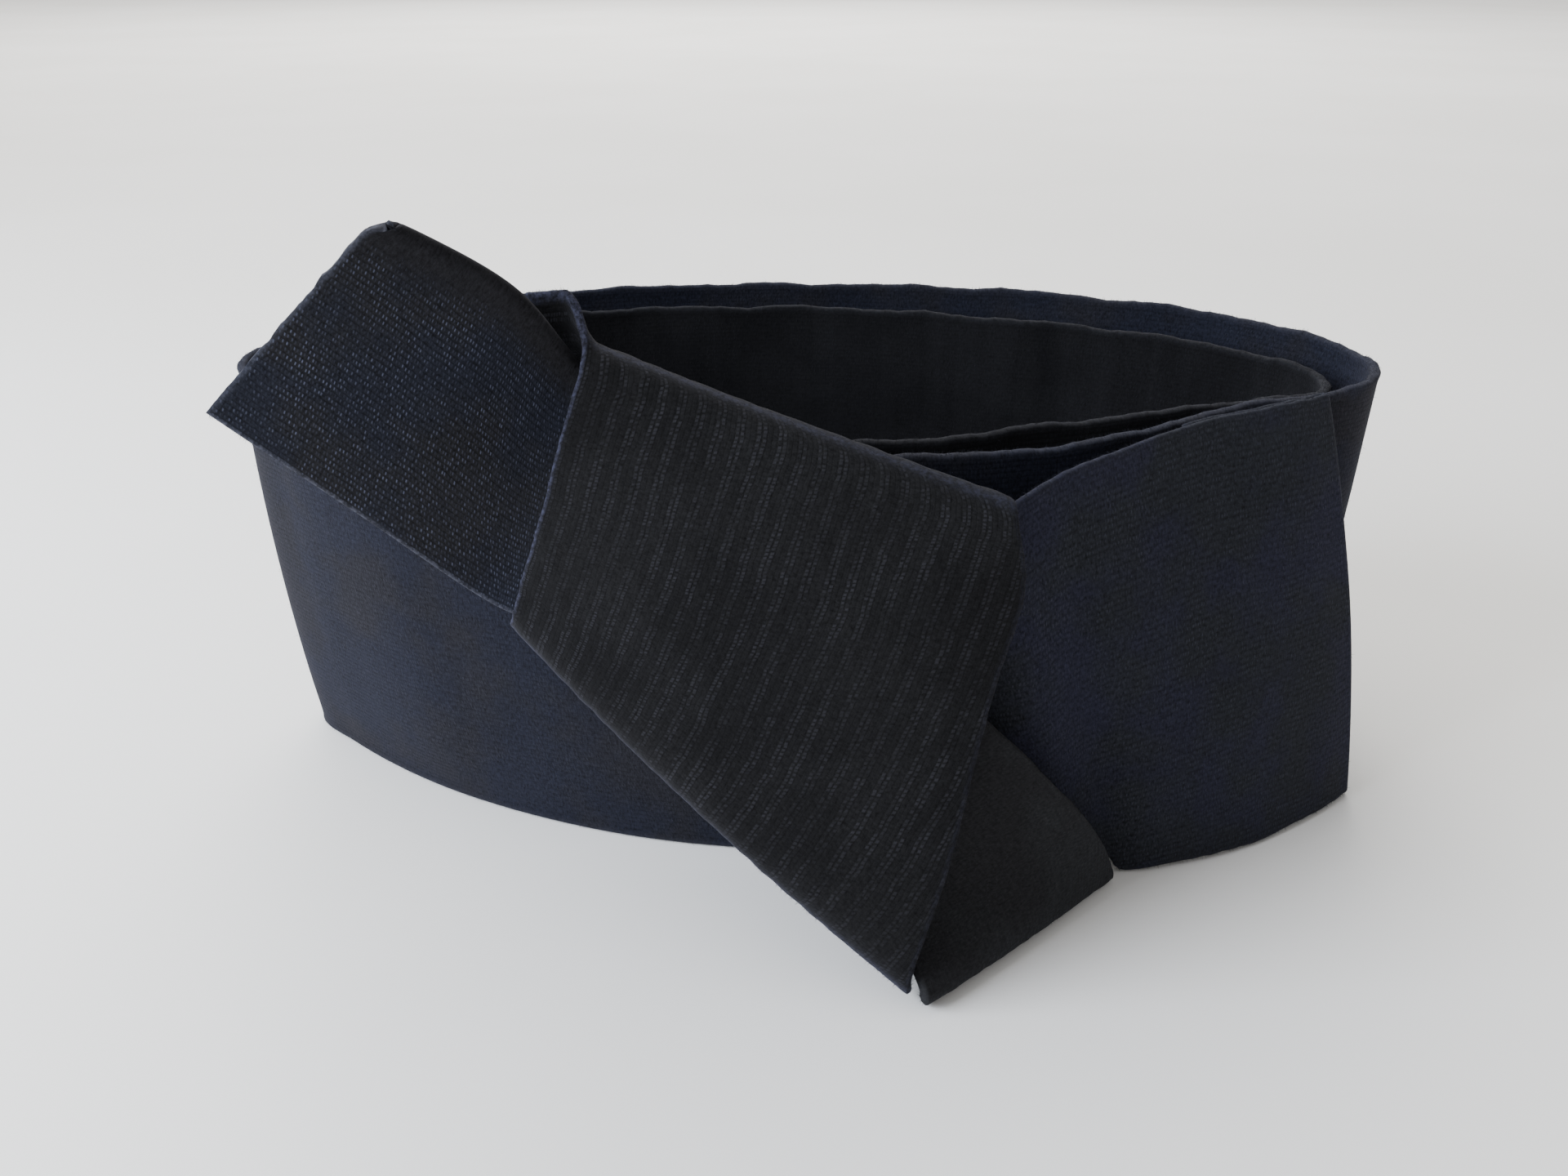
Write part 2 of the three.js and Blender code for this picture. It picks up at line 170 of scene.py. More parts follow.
def band_rows(table, finer):
    """A table's rows, sampled, each with the way the band runs and the way it faces."""
    counts = [row[6] * finer for row in table]
    start = smooth([row[0] for row in table], counts)
    end = smooth([row[1] for row in table], counts)
    shape = smooth([(row[2], row[3], 0) for row in table], counts)
    edges = smooth([(row[4], row[5], 0) for row in table], counts)
    both = np.concatenate([(start + end)[:1], start + end, (start + end)[-1:]])
    run = unit(both[2:] - both[:-2])
    normal = unit(np.cross(end - start, run))
    return {"start": start, "end": end, "run": run, "normal": normal,
            "bulge": shape[:, 0], "bow": shape[:, 1], "curl": edges[:, 0], "ear": edges[:, 1]}


def across(rows, shares):
    """Points on every row at the given shares of the way from one edge to the other."""
    share = np.asarray(shares, float)[None, :, None]
    rolled = np.maximum(share - CURL_STARTS, 0) / (1 - CURL_STARTS)
    raised = np.maximum(EAR_ENDS - share, 0) / EAR_ENDS
    middle = 4 * share * (1 - share)
    col = {k: rows[k][:, None, None] for k in ("bulge", "bow", "curl", "ear")}
    points = rows["start"][:, None] * (1 - share) + rows["end"][:, None] * share
    points = points + rows["normal"][:, None] * (col["curl"] * rolled ** 2 - col["bulge"] * middle)
    points = points + rows["run"][:, None] * (col["bow"] * middle)
    points[:, :, 2:] += col["ear"] * raised ** 2
    return points


def grid_normals(grid):
    rows = np.concatenate([grid[:1], grid, grid[-1:]])
    cols = np.concatenate([grid[:, :1], grid, grid[:, -1:]], axis=1)
    return unit(np.cross(rows[2:] - rows[:-2], cols[:, 2:] - cols[:, :-2]))


def turn_grid(table, steps, heights):
    counts = [steps] * len(table)
    foot = smooth([(r[0], r[1], 0) for r in table], counts, True)
    rim = smooth([(r[2], r[3], r[4]) for r in table], counts, True)
    share = np.asarray(heights, float)[None, :, None]
    grid = foot[:, None] * (1 - share) + rim[:, None] * share
    along = np.roll(grid, -1, 0) - np.roll(grid, 1, 0)
    outward = unit(np.stack([along[..., 1], -along[..., 0], np.zeros(along.shape[:2])], -1))
    return grid + outward * FOOT_BULGE * 4 * share * (1 - share), outward


# ---- Uneven cloth --------------------------------------------------------------------------
def waves(seed, x, length, size):
    """A smooth uneven line: a few sines with seeded lengths near the given one."""
    rng = np.random.default_rng(seed)
    total = np.zeros_like(x, float)
    for _ in range(5):
        total += np.sin(x * 2 * math.pi / (length * rng.uniform(0.6, 1.9)) + rng.uniform(0, 7))
    return total * size / 2.4


def lengths(grid):
    """How far along the band every sample lies, and how far across, in millimetres."""
    step = np.linalg.norm(np.diff(grid, axis=0), axis=-1)
    along = np.concatenate([np.zeros((1, grid.shape[1])), np.cumsum(step, 0)])
    step = np.linalg.norm(np.diff(grid, axis=1), axis=-1)
    over = np.concatenate([np.zeros((grid.shape[0], 1)), np.cumsum(step, 1)], 1)
    return along.mean(1, keepdims=True).repeat(grid.shape[1], 1), over


def creased(grid, normals, creases):
    """Soft troughs (below 0) and ridges: (along, over, along, over, half width, height)."""
    along, over = lengths(grid)
    height = np.zeros(along.shape)
    for a0, o0, a1, o1, half, size in creases:
        d = np.array([a1 - a0, o1 - o0], float)
        t = np.clip(((along - a0) * d[0] + (over - o0) * d[1]) / (d @ d), 0, 1)
        gap = np.hypot(along - a0 - t * d[0], over - o0 - t * d[1])
        height += size * np.exp(-(gap / half) ** 2)
    return grid + normals * height[..., None]


def wobble_edges(grid, seed, size):
    """Uneven edges: each edge wanders a little along the cloth, and fades out inwards."""
    along, over = lengths(grid)
    width = over[:, -1:]
    direction = unit(np.gradient(grid, axis=1))
    near = np.exp(-over / 4) * (waves(seed, along, 24, size) + waves(seed + 1, along, 4, size * 0.5))
    far = waves(seed + 2, along, 24, size) + waves(seed + 3, along, 4, size * 0.5)
    return grid + direction * (near + np.exp((over - width) / 4) * far)[..., None]


def uneven(grid, normals, seed, size):
    along, over = lengths(grid)
    first = waves(seed, along + over * 0.4, 45, size) * 0.6
    second = waves(seed + 5, over * 1.3 - along * 0.3, 60, size) * 0.4
    return grid + normals * (first + second)[..., None]


# ---- Shells of cloth ----------------------------------------------------------------------
FUZZ = {}                  # for each piece: the places that fine hairs grow from


def shell(name, grid, normals, thickness, closed=False, wear_and_highlight=None, plain=None, edges=(0.4, 0.4),
          bead=0.0):
    """A closed shell round a grid of points, with rounded edges and the band's own coordinates.

    The mask of wear and painted highlight says where the cloth shows lighter, from real wear together
    with a painted highlight, plain where its weave doesn't show, edges how much of that wear and painted
    highlight its two edges get and bead how much thicker it is at them."""
    half = np.full(grid.shape[:2] + (1,), thickness / 2)
    edge_in = unit(grid[:, 1] - grid[:, 0])
    edge_out = unit(grid[:, -1] - grid[:, -2])
    along, over = lengths(grid)
    width = over[:, -1:]
    near, far = np.exp(-over), np.exp(over - width)
    by_edges = np.exp(-(over / BEAD_REACH) ** 2) + np.exp(-((width - over) / BEAD_REACH) ** 2)
    half = half * (1 + bead * by_edges)[..., None]
    grid = grid + unit(np.gradient(grid, axis=1)) * (EDGE_ROUND * (near - far))[..., None]
    arc = [math.radians(a) for a in (30, 60, 90, 120, 150)]
    far = np.stack([grid[:, -1] + normals[:, -1] * half[:, -1] * math.cos(a)
                    + edge_out * EDGE_ROUND * math.sin(a) for a in arc], 1)
    near = np.stack([grid[:, 0] - normals[:, 0] * half[:, 0] * math.cos(a)
                     - edge_in * EDGE_ROUND * math.sin(a) for a in arc], 1)
    body, bend = grid.shape[1], len(arc)
    loop = np.concatenate([grid + normals * half, far, (grid - normals * half)[:, ::-1], near], 1)
    rows, count = loop.shape[:2]

    def round_the_loop(value):
        return np.concatenate([value, value[:, -1:].repeat(bend, 1), value[:, ::-1],
                               value[:, :1].repeat(bend, 1)], 1)

    u, v = round_the_loop(along), round_the_loop(over)
    # The edges' mask: real wear together with a painted highlight along the rims.
    rubbed_and_highlit = np.maximum(np.exp(-(v / 0.5) ** 2) * edges[0],
                        np.exp(-((width - v) / 0.5) ** 2) * edges[1])
    if wear_and_highlight is not None:
        rubbed_and_highlit = np.maximum(rubbed_and_highlit, round_the_loop(wear_and_highlight))
    smooth_part = np.zeros_like(u) if plain is None else round_the_loop(plain)
    points = (loop.reshape(-1, 3) + OFFSET) * MM

    i = np.arange(rows if closed else rows - 1)[:, None]
    j = np.arange(count)[None, :]
    here, there, following = i * count, ((i + 1) % rows) * count, (j + 1) % count
    quads = np.stack([here + j, there + j, there + following, here + following], -1).reshape(-1, 4)
    a, b, c, d = (points[quads[:, k]] for k in range(4))
    inside_out = np.einsum("ij,ij->i", a, np.cross(b, c) + np.cross(c, d)).sum() < 0
    faces = quads.tolist()
    if not closed:
        back_end, last = 2 * body + bend - 1, (rows - 1) * count
        for base, turned in ((0, False), (last, True)):
            caps = [[k, k + 1, back_end - 1 - k, back_end - k] for k in range(body - 1)]
            caps.append(list(range(body - 1, body + bend + 1)))
            caps.append(list(range(back_end, count)) + [0])
            for cap in caps:
                cap = [base + k for k in cap]
                faces.append(cap[::-1] if turned else cap)
    if inside_out:
        faces = [face[::-1] for face in faces]
    mesh = bpy.data.meshes.new(name)
    mesh.from_pydata(points, [], faces)
    corner = np.empty(len(mesh.loops), np.int32)
    mesh.loops.foreach_get("vertex_index", corner)
    across_u, across_v = u.reshape(-1)[corner] * MM, v.reshape(-1)[corner] * MM
    if closed:
        wrap = (along[-1, 0] + np.linalg.norm(grid[0, 0] - grid[-1, 0])) * MM
        face_u = across_u.reshape(-1, 4)
        crossing = (face_u.max(1) - face_u.min(1) > wrap / 2).repeat(4)
        across_u = np.where(crossing & (across_u < wrap / 2), wrap, across_u)
    layer = mesh.uv_layers.new(name="band")
    layer.uv.foreach_set("vector", np.stack([across_u, across_v], 1).astype(np.float32).reshape(-1))
    for key, value in (("wear_and_highlight", rubbed_and_highlit), ("plain", smooth_part)):
        data = mesh.attributes.new(key, "FLOAT", "POINT").data
        data.foreach_set("value", np.ascontiguousarray(value, np.float32).reshape(-1))
    mesh.polygons.foreach_set("use_smooth", [True] * len(mesh.polygons))
    piece = bpy.data.objects.new(name, mesh)
    bpy.context.scene.collection.objects.link(piece)
    FUZZ[name] = (loop + OFFSET, body, bend, rubbed_and_highlit)
    return piece


def between(grid, row, col, a, b):
    return (grid[row, col] * (1 - a) * (1 - b) + grid[row + 1, col] * a * (1 - b)
            + grid[row, col + 1] * (1 - a) * b + grid[row + 1, col + 1] * a * b)


def fuzz(piece, seed, material, by_edge=11.0, by_face=0.12, by_fold=5.0):
    """Fine short hairs: by_edge to a millimetre of edge, by_face to a square millimetre of cloth, and
    by_fold more of them along the folds, as read from the mask of wear and painted highlight."""
    rng = np.random.default_rng(seed)
    loop, body, bend, rubbed_and_highlit = FUZZ[piece.name]
    back = slice(2 * body + bend - 1, body + bend - 1, -1)
    middle = (loop[:, :body] + loop[:, back]) / 2
    facing = unit(loop[:, :body] - middle)
    half = np.linalg.norm(loop[0, 0] - middle[0, 0])
    roots, ways = [], []
    for side, inner in ((0, 1), (-1, -2)):
        out = unit(middle[:, side] - middle[:, inner])
        length = np.linalg.norm(np.diff(middle[:, side], axis=0), axis=-1)
        count = int(length.sum() * by_edge)
        row = rng.choice(len(length), count, p=length / length.sum())
        share, lean = rng.random((count, 1)), rng.uniform(-1, 1, (count, 1))
        at = middle[row, side] * (1 - share) + middle[row + 1, side] * share
        roots.append(at + out[row] * EDGE_ROUND * np.sqrt(1 - lean ** 2) * 0.9
                     + facing[row, side] * lean * half * 0.9)
        ways.append(out[row] * (1.2 - np.abs(lean)) + facing[row, side] * lean)
    first, second = np.diff(middle, axis=0)[:, :-1], np.diff(middle, axis=1)[:-1]
    cell = np.linalg.norm(np.cross(first, second), axis=-1)
    fold = rubbed_and_highlit[:-1, :body - 1] * (rubbed_and_highlit[:-1, body // 2:body // 2 + 1] > 0.05)
    chance = cell * (by_face + by_fold * fold)
    count = int(chance.sum())
    pick = rng.choice(cell.size, count, p=(chance / chance.sum()).reshape(-1))
    row, col = np.unravel_index(pick, cell.shape)
    a, b = rng.random((2, count, 1))
    face = facing[row, col] * rng.choice([-1, 1], (count, 1))
    roots.append(between(middle, row, col, a, b) + face * (half - 0.02))
    ways.append(face * 0.6)
    root, way = np.concatenate(roots), unit(np.concatenate(ways))
    number = len(root)
    way = unit(way * rng.uniform(0.5, 1.2, (number, 1)) + rng.normal(0, 0.55, (number, 3)))
    long = HAIR_SHORTEST + HAIR_SPREAD * rng.random((number, 1)) ** 2
    side = unit(np.cross(way, rng.normal(0, 1, (number, 3)))) * HAIR_RADIUS
    other = np.cross(way, side)
    corners = [root - way * 0.05 + side * math.cos(t) + other * math.sin(t) for t in (0, 2.1, 4.2)]
    points = np.stack(corners + [root + way * long], 1).reshape(-1, 3) * MM
    points[:, 2] = np.maximum(points[:, 2], 0.00002)
    order = np.array([[0, 1, 3], [1, 2, 3], [2, 0, 3], [2, 1, 0]]).reshape(-1)
    faces = (np.arange(number)[:, None] * 4 + order).reshape(-1, 3)
    mesh = bpy.data.meshes.new(piece.name.replace("cloth", "fuzz"))
    mesh.from_pydata(points, [], faces)
    mesh.materials.append(material)
    hairs = bpy.data.objects.new(mesh.name, mesh)
    bpy.context.scene.collection.objects.link(hairs)
    return hairs


# ---- Materials ------------------------------------------------------------------------------
class Nodes:
    """Short names for making shader nodes."""

    def __init__(self, material):
        self.tree = material.node_tree
        self.tree.nodes.clear()

    def add(self, kind, inputs=(), **settings):
        node = self.tree.nodes.new(kind)
        for key, value in settings.items():
            setattr(node, key, value)
        for key, value in dict(inputs).items():
            self.join(node.inputs[key], value)
        return node

    def join(self, socket, value):
        if isinstance(value, bpy.types.NodeSocket):
            self.tree.links.new(value, socket)
        else:
            socket.default_value = value

    def math(self, operation, a, b=0.0, clamp=False):
        node = self.add("ShaderNodeMath", {0: a, 1: b}, operation=operation, use_clamp=clamp)
        return node.outputs[0]

    def sum(self, *values):
        total = values[0]
        for value in values[1:]:
            total = self.math("ADD", total, value)
        return total

    def times(self, *values):
        total = values[0]
        for value in values[1:]:
            total = self.math("MULTIPLY", total, value)
        return total

    def mix(self, share, a, b):
        node = self.add("ShaderNodeMix", {0: share}, data_type="RGBA")
        self.join(node.inputs[6], a)
        self.join(node.inputs[7], b)
        return node.outputs[2]

    def range(self, value, low, high, to_low=0.0, to_high=1.0):
        inputs = {"Value": value, "From Min": low, "From Max": high,
                  "To Min": to_low, "To Max": to_high}
        return self.add("ShaderNodeMapRange", inputs, interpolation_type="SMOOTHSTEP").outputs[0]

    def noise(self, vector, scale, detail=2.0, roughness=0.5):
        inputs = {"Vector": vector, "Scale": scale, "Detail": detail, "Roughness": roughness}
        return self.add("ShaderNodeTexNoise", inputs).outputs["Fac"]

    def centred(self, value, size):
        return self.math("MULTIPLY", self.math("SUBTRACT", value, 0.5), size)

    def stretched(self, u, v, by_u, by_v):
        inputs = {0: self.times(u, by_u), 1: self.times(v, by_v)}
        return self.add("ShaderNodeCombineXYZ", inputs).outputs[0]


def colour(hexa):
    parts = [int(hexa[k:k + 2], 16) / 255 for k in (0, 2, 4)]
    return tuple(p / 12.92 if p < 0.04045 else ((p + 0.055) / 1.055) ** 2.4 for p in parts) + (1.0,)


def new_material(name):
    material = bpy.data.materials.new(name)
    material.use_nodes = True
    return material, Nodes(material)


def woven(name, base, tint, fleck, light, row, dash, wide, long, flecks, groups=0.0, mottle=0.2,
          yarn=0.25, streak=0.0, sheen=0.08, choosy=1.6):
    """Woven wool: rows run along the band, each a line of dashes that lie across it.

    base and tint are its ground's two tones, fleck the dashes' colour and light the colour that edges
    and folds are mixed towards, where real wear and a painted highlight both lighten the cloth.

    row and dash are the rows' and the dashes' spacing and wide and long the dash's own size, in
    millimetres. flecks is how much lighter a dash shows, choosy how few of them are bright, and
    groups how far the rows come two by two."""
    material, n = new_material(name)
    band = n.add("ShaderNodeUVMap", uv_map="band").outputs[0]
    place = n.add("ShaderNodeTexCoord").outputs["Object"]
    wear_and_highlight = n.add("ShaderNodeAttribute", attribute_name="wear_and_highlight").outputs["Fac"]
    plain = n.add("ShaderNodeAttribute", attribute_name="plain").outputs["Fac"]
    split = n.add("ShaderNodeSeparateXYZ", {0: band})
    along, over = split.outputs[0], split.outputs[1]
    woven_part = n.math("SUBTRACT", 1.0, plain)

    drift = n.centred(n.noise(place, 60, 2), 0.0014)
    over = n.math("ADD", over, drift)
    row_at = n.math("DIVIDE", over, row * MM)
    row_number = n.math("FLOOR", row_at)
    in_row = n.math("SUBTRACT", n.math("FRACT", row_at), 0.5)
    by_row = n.add("ShaderNodeTexWhiteNoise", {"W": row_number}, noise_dimensions="1D").outputs["Value"]
    dash_at = n.sum(n.math("DIVIDE", along, dash * MM), n.times(by_row, 7.0), n.times(in_row, 0.45))
    dash_number = n.math("FLOOR", dash_at)
    in_dash = n.math("SUBTRACT", n.math("FRACT", dash_at), 0.5)
    cell = n.add("ShaderNodeCombineXYZ", {0: dash_number, 1: row_number}).outputs[0]
    chance = n.add("ShaderNodeTexWhiteNoise", {"Vector": cell}, noise_dimensions="2D")
    chances = n.add("ShaderNodeSeparateColor", {0: chance.outputs["Color"]}).outputs
    off_dash = n.math("ABSOLUTE", n.math("ADD", in_dash, n.centred(chances[0], 0.4)))
    off_row = n.math("ABSOLUTE", n.math("ADD", in_row, n.centred(chances[1], 0.16)))
    w, h = wide / dash / 2, long / row / 2
    shape = n.times(n.range(off_dash, w * 0.5, w * 1.6, 1.0, 0.0),
                    n.range(off_row, h * 0.6, h * 1.3, 1.0, 0.0))
    patch = n.range(n.noise(place, 85, 3), 0.32, 0.68, 0.4, 1.0)
    bright = n.range(n.math("POWER", chances[2], choosy), 0.0, 1.0, 0.18, 1.0)
    shown = n.times(shape, bright, patch, woven_part, n.range(wear_and_highlight, 0.15, 0.6, 1.0, 0.0))
    if groups:
        turn = n.math("SINE", n.math("DIVIDE", over, row * MM * 4 / (2 * math.pi)))
        shown = n.times(shown, n.range(turn, -0.35, 0.35, 1.0 - groups, 1.0))

    threads = n.noise(n.stretched(along, over, 2300, 800), 1.0, 2, 0.65)
    fine = n.noise(place, 1300, 3, 0.75)
    cloudy = n.noise(place, 30, 4, 0.6)
    gap = n.times(n.range(off_row, 0.25, 0.5), woven_part)
    shade = n.sum(1.0, n.centred(cloudy, mottle * 2.2), n.centred(threads, yarn * 2.4),
                  n.centred(fine, yarn * 2.4), n.times(gap, -0.06))
    if streak:
        streaks = n.noise(n.stretched(along, over, 170, 9), 1.0, 3, 0.6)
        shade = n.math("ADD", shade, n.centred(streaks, streak))
    tone = n.mix(n.range(n.noise(place, 42, 3, 0.55), 0.4, 0.6), colour(base), colour(tint))
    tone = n.mix(plain, tone, colour(tint))
    ground = n.add("ShaderNodeHueSaturation", {"Value": shade, "Color": tone}).outputs[0]
    cloth = n.mix(n.times(shown, flecks), ground, colour(fleck))
    rough_edge = n.range(n.noise(place, 1100, 2, 0.7), 0.3, 0.72, 0.15, 1.0)
    # Edges and folds mixed towards the light colour: real wear together with a painted highlight where
    # the cloth catches the light.
    cloth = n.mix(n.times(wear_and_highlight, rough_edge), cloth, colour(light))
    height = n.sum(n.times(shown, 0.7), n.times(threads, 0.8), n.times(fine, 0.8), n.times(gap, -0.25))
    bump = n.add("ShaderNodeBump", {"Height": height, "Strength": 0.6, "Distance": 0.0002})
    shader = n.add("ShaderNodeBsdfPrincipled", {
        "Base Color": cloth, "Roughness": 0.95, "Normal": bump.outputs[0], "Specular IOR Level": 0.12,
        "Sheen Weight": sheen, "Sheen Roughness": 0.5, "Sheen Tint": colour("8f8fa0")})
    n.add("ShaderNodeOutputMaterial", {"Surface": shader.outputs[0]})
    return material


def hair_material(name, shade):
    material, n = new_material(name)
    shader = n.add("ShaderNodeBsdfPrincipled", {
        "Base Color": colour(shade), "Roughness": 0.9, "Specular IOR Level": 0.1})
    n.add("ShaderNodeOutputMaterial", {"Surface": shader.outputs[0]})
    return material


# The fourth colour of each is the light colour of edges and folds: real wear together with a painted
# highlight.
SLATE = woven("slate_cloth", "191b25", "1c1c21", "2a2c35", "32333c", 1.1, 0.7, 0.22, 0.6, 0.4,
              mottle=0.2, yarn=0.85, streak=0.35, sheen=0.12)
CHARCOAL = woven("charcoal_cloth", "0f0f10", "131314", "2c2c31", "44465a", 0.97, 0.72, 0.46, 0.62, 0.7,
                 groups=0.85, mottle=0.2, yarn=0.8, choosy=0.8)
NAVY = woven("navy_cloth", "171921", "1a1a1d", "555a6e", "4c4e5a", 1.12, 0.66, 0.22, 0.56, 0.75,
             mottle=0.3, yarn=0.8, choosy=2.0)
NAVY_SOFT = woven("navy_soft_cloth", "1f202d", "1e2025", "383a46", "2e2f37", 1.3, 0.7, 0.3, 0.62, 0.5,
                  mottle=0.22, yarn=0.9, choosy=1.4)
BLACK = woven("black_cloth", "1f1f21", "232426", "303133", "2b2c2e", 1.0, 0.9, 0.4, 0.4, 0.3,
              mottle=0.22, yarn=0.6, sheen=0.05)
DARK = woven("shaded_cloth", "111113", "151517", "24262c", "2b2c31", 1.1, 0.7, 0.22, 0.6, 0.3,
             mottle=0.25, yarn=0.6, streak=1.1, sheen=0.08)
HAIR = hair_material("wool_hair", "2c2d34")
DARK_HAIR = hair_material("dark_wool_hair", "202024")


# ---- The pieces -----------------------------------------------------------------------------
def ring_offset():
    """From the tables' own zero to the row frame: the outer turn's solid says where it is."""
    grid, outward = turn_grid(OUTER_TURN, 5, [0, 0.22, 0.5, 0.78, 1])
    half = outward * CLOTH / 2
    own = np.concatenate([(grid + half).reshape(-1, 3), (grid - half).reshape(-1, 3)])
    low, high = (np.array(side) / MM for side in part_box("ring_outer_turn"))
    return (low + high) / 2 - (own.min(0) + own.max(0)) / 2


OFFSET = ring_offset()


def ring_turn(name, table, material, creases, seed, size):
    grid, outward = turn_grid(table, 24, np.linspace(0, 1, 56))
    along, over = lengths(grid)
    angle = along / (along[-1, 0] + 1.6) * 2 * math.pi
    soft = (np.sin(angle * 9 + seed) * 0.3 + np.sin(angle * 5) * 0.3
            + np.sin(angle * 14 + seed * 2 + over * 0.03) * 0.25)
    grid = grid + outward * (soft * size * np.clip(over / 12, 0, 1))[..., None]
    grid = creased(grid, outward, creases)
    rim = np.exp((over - over[:, -1:]) / 5)
    wave = (np.sin(angle * 17 + seed) * 0.26 + np.sin(angle * 29 + seed) * 0.16
            + np.sin(angle * 53 + 2 * seed) * 0.11 + np.sin(angle * 121) * 0.09)
    grid[..., 2] += rim * wave
    # The turn's rims lighter: real wear together with a painted highlight.
    piece = shell(name, grid, outward, CLOTH, closed=True, edges=(0.5, 0.35), bead=RING_BEAD)
    piece.data.materials.append(material)
    return piece


def fold_wear_and_highlight(table, grid, folds):
    """How much wear and painted highlight each sample gets from the folds: (row number in the table,
    half width, strength).
    """
    along, _ = lengths(grid)
    wear_and_highlight = np.zeros(along.shape)
    for row, half, strength in folds:
        before = sum(r[6] for r in table[:int(row)]) * FINER
        at = along[int(before + (row % 1) * table[int(row)][6] * FINER), 0]
        wear_and_highlight = np.maximum(wear_and_highlight, strength * np.exp(-((along - at) / half) ** 2))
    return wear_and_highlight


def ripple(grid, normals, seed, size):
    """Small bumps, a few millimetres across, that show where the cloth turns over."""
    along, over = lengths(grid)
    small = waves(seed, over + along * 0.2, 4.5, size) * 0.6
    large = waves(seed + 1, over - along * 0.5, 9, size) * 0.4
    return grid + normals * (small + large)[..., None]


def band_piece(name, table, thickness, material, seed, count=80, folds=(), size=0.1,
               edges=(0.4, 0.4)):
    rows = band_rows(table, FINER)
    shares = np.concatenate([np.linspace(0, EAR_ENDS, 9)[:-1], np.linspace(EAR_ENDS, 1, count)])
    grid = across(rows, shares)
    normals = grid_normals(grid)
    grid = uneven(grid, normals, seed, size)
    grid = ripple(grid, normals, seed + 3, 0.1)
    grid = wobble_edges(grid, seed + 10, 0.12)
    wear_and_highlight = fold_wear_and_highlight(table, grid, folds)
    piece = shell(name, grid, grid_normals(grid), thickness, wear_and_highlight=wear_and_highlight,
                  plain=np.clip(wear_and_highlight * 2.5, 0, 1), edges=edges)
    piece.data.materials.append(material)
    return piece


def tare_end():
    rows = band_rows(TARE_END, FINER)
    front = across(rows, np.linspace(0, 1, 80))
    front = uneven(front, grid_normals(front), 31, 0.25)
    front = wobble_edges(front, 37, 0.15)
    normals = grid_normals(front)
    radius = LAYER_STEP / 2
    outward = unit(front[-1] - front[-2])
    turn = [front[-1] + normals[-1] * radius * (1 - math.cos(a)) + outward * radius * math.sin(a)
            for a in (math.radians(d) for d in (30, 60, 90, 120, 150))]
    lead = sum(row[6] for row in TARE_END[:TARE_DOUBLED_FROM]) * FINER
    behind = (front + normals * LAYER_STEP)[lead:][::-1]
    grid = np.concatenate([front, np.array(turn), behind])
    along, _ = lengths(grid)
    # Painted highlight with real wear along the end's fold.
    wear_and_highlight = 0.25 * np.exp(-((along - along[len(front) + 2, 0]) / 1.0) ** 2)
    piece = shell("tare_end_cloth", grid, grid_normals(grid), CLOTH, wear_and_highlight=wear_and_highlight, edges=(0.3, 0.3))
    piece.data.materials.append(NAVY_SOFT)
    return piece


def te_end():
    radius = LAYER_STEP / 2
    rows = band_rows(TE_END, 8)
    up = unit(rows["end"] - rows["start"])
    rows["end"] = rows["end"] - up * radius
    facing = rows["normal"][:, None] * radius
    front = across(rows, np.linspace(0, 1, 48)) - facing
    back = across(rows, np.linspace(1, 0.23, 36)) + facing
    turn = np.stack([rows["end"] + up * radius * math.sin(a) - rows["normal"] * radius * math.cos(a)
                     for a in (math.radians(d) for d in (22.5, 45, 67.5, 90, 112.5, 135, 157.5))], 1)
    grid = np.concatenate([front, turn, back], 1)
    corner = rows["end"][0] + up[0] * radius
    below = (corner - grid[0]) @ up[0]
    inside = np.maximum(SHOULDER - below, 0)
    drawn = SHOULDER - np.sqrt(np.maximum(SHOULDER ** 2 - inside ** 2, 0))
    short = np.where(np.arange(grid.shape[1]) >= front.shape[1] + turn.shape[1], END_SHORT, 0)
    along, over = lengths(grid)
    fade = np.exp(-along / 3)[..., None]
    ragged = waves(71, over[0], 7, 0.16) + waves(72, over[0], 2.6, 0.06)
    grid = grid + rows["run"][0] * ((drawn + short + ragged)[None, :, None] * fade)
    to_fold = np.abs(over - over[:, front.shape[1] + 3:front.shape[1] + 4])
    # The end's cut edge and its lower edge lighter: real wear together with a painted highlight.
    end_wear_and_highlight = 0.5 * np.exp(-(along / 0.5) ** 2)
    piece = shell("te_end_cloth", grid, grid_normals(grid), TE_CLOTH, wear_and_highlight=end_wear_and_highlight,
                  plain=1 - np.clip((to_fold - 4) / 5, 0, 1), edges=(0.8, 0.2))
    piece.data.materials.append(NAVY)
    return piece


outer = ring_turn("ring_outer_cloth", OUTER_TURN, SLATE,
                  [(20, 20, 26, 90, 9, 0.4), (300, 10, 290, 80, 12, -0.5)], 3, 0.8)
inner = ring_turn("ring_inner_cloth", INNER_TURN, DARK, [(330, 30, 345, 85, 7, 0.7)], 5, 0.8)
rise = band_piece("tare_rise_cloth", RISE, CLOTH, CHARCOAL, 11, size=0.05)
# Painted highlights with real wear along the crest fold and the lower-left fold, and on the band's
# edges.
knot = band_piece("knot_band_cloth", KNOT_BAND, CLOTH, CHARCOAL, 21,
                  folds=[(2.3, 1.2, 0.3), (7.6, 1.6, 0.7)], edges=(0.7, 0.15))
fold = band_piece("te_fold_cloth", TE_FOLD, PRESSED_PAIR, BLACK, 41, count=56, size=0.05,
                  edges=(0.2, 0.2))
tare = tare_end()
te = te_end()

